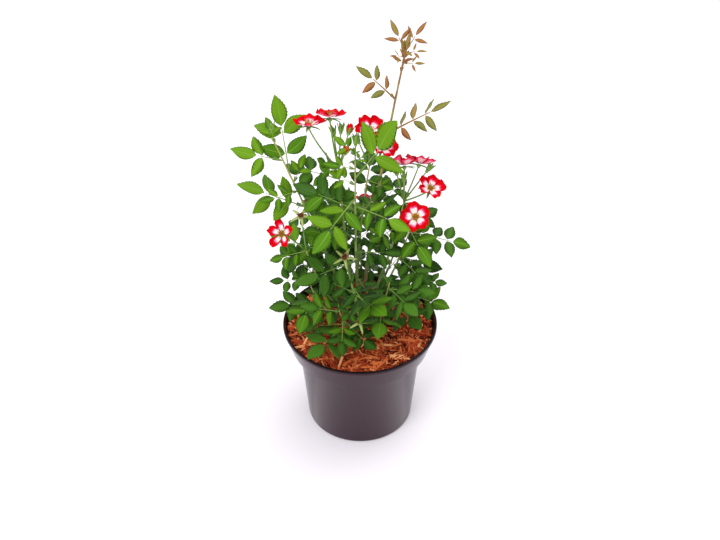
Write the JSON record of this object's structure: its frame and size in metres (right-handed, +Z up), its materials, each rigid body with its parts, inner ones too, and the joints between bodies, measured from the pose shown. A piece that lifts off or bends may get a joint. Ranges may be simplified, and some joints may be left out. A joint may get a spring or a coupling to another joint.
{
  "type": "potted rose bush",
  "caption": "Small garden rose bush with single red-edged white blooms, buds and hips, in a round dark nursery pot topped with bark mulch.",
  "frame": {"origin": "middle of the flat underside of the pot", "axes": "+Z up, along the pot's axis; -Y towards the side the bush shows its blooms to; +X to the right seen from there"},
  "size_m": [0.2661, 0.2529, 0.528],
  "materials": {
    "pot": "satin",
    "growing_medium": "matte",
    "canes": "satin",
    "foliage": "satin"
  },
  "bodies": {
    "root": {"back_left_shoot": "foliage", "back_left_shoot_cane": "canes", "back_right_shoot": "foliage", "back_right_shoot_cane": "canes", "back_shoot": "foliage", "back_shoot_cane": "canes", "back_truss": "foliage", "back_truss_cane": "canes", "front_left_shoot": "foliage", "front_left_shoot_cane": "canes", "front_right_shoot": "foliage", "front_right_shoot_cane": "canes", "front_shoot": "foliage", "front_shoot_cane": "canes", "growing_medium": "growing_medium", "leader": "foliage", "leader_cane": "canes", "left_flowering_shoot": "foliage", "left_flowering_shoot_cane": "canes", "left_shoot": "foliage", "left_shoot_cane": "canes", "left_truss": "foliage", "left_truss_cane": "canes", "low_front_shoot": "foliage", "low_front_shoot_cane": "canes", "low_left_shoot": "foliage", "low_left_shoot_cane": "canes", "low_right_shoot": "foliage", "low_right_shoot_cane": "canes", "pot": "pot", "right_shoot": "foliage", "right_shoot_cane": "canes", "right_truss": "foliage", "right_truss_cane": "canes", "stem_base": "canes"}
  },
  "joints": []
}
